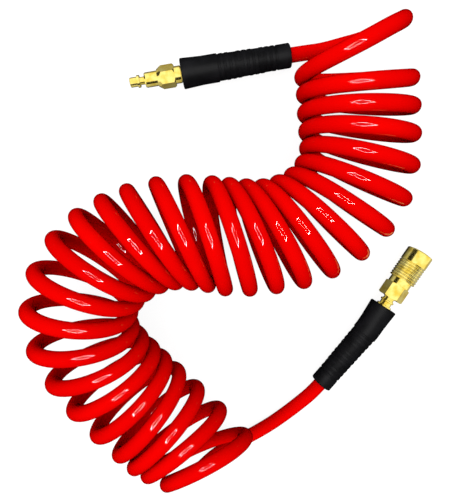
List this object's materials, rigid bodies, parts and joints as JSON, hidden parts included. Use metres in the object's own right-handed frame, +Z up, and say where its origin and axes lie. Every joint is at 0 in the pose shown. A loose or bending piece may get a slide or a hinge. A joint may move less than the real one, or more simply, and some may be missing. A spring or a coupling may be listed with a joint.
{
  "type": "coiled air hose",
  "caption": "Coiled red polyurethane air hose laid in an S, with black bend restrictors, swivelling brass ends, a quick plug and a push-to-connect coupler.",
  "frame": {"origin": "on the table, under the middle of the whole hose's box", "axes": "+Z up from the table; +Y from the coupler end of the coil towards the plug end; +X to the side on which the coupler lies"},
  "size_m": [0.339, 0.3903, 0.092],
  "materials": {
    "hose": "glossy red polyurethane",
    "boot": "matt black moulded rubber",
    "brass": "polished turned brass",
    "steel": "spring steel",
    "ball_steel": "polished ball steel",
    "seal": "black nitrile rubber"
  },
  "bodies": {
    "hose": {"hose_coil": "hose", "hose_tail_plug_end": "hose", "hose_tail_coupler_end": "hose", "hose_end_plug_side": "hose", "hose_end_coupler_side": "hose", "plug_boot": "boot", "coupler_boot": "boot", "plug_ferrule": "brass", "plug_stem": "brass", "coupler_ferrule": "brass", "coupler_stem": "brass", "plug_o_ring": "seal", "plug_retaining_ring": "steel", "coupler_o_ring": "seal", "coupler_retaining_ring": "steel"},
    "plug_fitting": {"plug_swivel_body": "brass", "quick_plug": "brass"},
    "coupler_fitting": {"coupler_swivel_body": "brass", "coupler_adapter": "brass", "coupler_gasket": "seal", "coupler_body": "brass", "sleeve_retaining_ring": "steel", "sleeve_spring": "steel", "socket_seal": "seal", "valve_spring": "steel"},
    "sleeve": {"coupler_sleeve": "brass"},
    "valve": {"valve_poppet": "brass", "valve_seal": "seal"},
    "locking_ball_1": {"locking_ball_1": "ball_steel"},
    "locking_ball_2": {"locking_ball_2": "ball_steel"},
    "locking_ball_3": {"locking_ball_3": "ball_steel"},
    "locking_ball_4": {"locking_ball_4": "ball_steel"}
  },
  "joints": [
    {"name": "plug_swivel", "type": "hinge", "parent": "hose", "child": "plug_fitting", "pos_m": [-0.04485, 0.15849, 0.012], "axis": [-0.986, -0.1668, 0], "continuous": true},
    {"name": "coupler_swivel", "type": "hinge", "parent": "hose", "child": "coupler_fitting", "pos_m": [0.13027, -0.0368, 0.012], "axis": [0.5373, 0.8434, 0], "continuous": true},
    {"name": "sleeve_slide", "type": "slide", "parent": "coupler_fitting", "child": "sleeve", "axis": [-0.5373, -0.8434, 0], "range_m": [0, 0.0028], "stiffness_N_per_m": 1500, "springref_m": -0.004, "deforming": ["sleeve_spring"]},
    {"name": "locking_ball_1_slide", "type": "slide", "parent": "coupler_fitting", "child": "locking_ball_1", "axis": [-0.5964, 0.3799, 0.7071], "range_m": [0, 0.0014]},
    {"name": "locking_ball_2_slide", "type": "slide", "parent": "coupler_fitting", "child": "locking_ball_2", "axis": [0.5964, -0.3799, 0.7071], "range_m": [0, 0.0014]},
    {"name": "locking_ball_3_slide", "type": "slide", "parent": "coupler_fitting", "child": "locking_ball_3", "axis": [0.5964, -0.3799, -0.7071], "range_m": [0, 0.0014]},
    {"name": "locking_ball_4_slide", "type": "slide", "parent": "coupler_fitting", "child": "locking_ball_4", "axis": [-0.5964, 0.3799, -0.7071], "range_m": [0, 0.0014]},
    {"name": "valve_slide", "type": "slide", "parent": "coupler_fitting", "child": "valve", "axis": [-0.5373, -0.8434, 0], "range_m": [0, 0.003], "stiffness_N_per_m": 600, "springref_m": -0.003, "deforming": ["valve_spring"]}
  ],
  "couplings": [
    {"joint": "locking_ball_1_slide", "follows": "sleeve_slide", "ratio": 0.5},
    {"joint": "locking_ball_2_slide", "follows": "sleeve_slide", "ratio": 0.5},
    {"joint": "locking_ball_3_slide", "follows": "sleeve_slide", "ratio": 0.5},
    {"joint": "locking_ball_4_slide", "follows": "sleeve_slide", "ratio": 0.5}
  ]
}
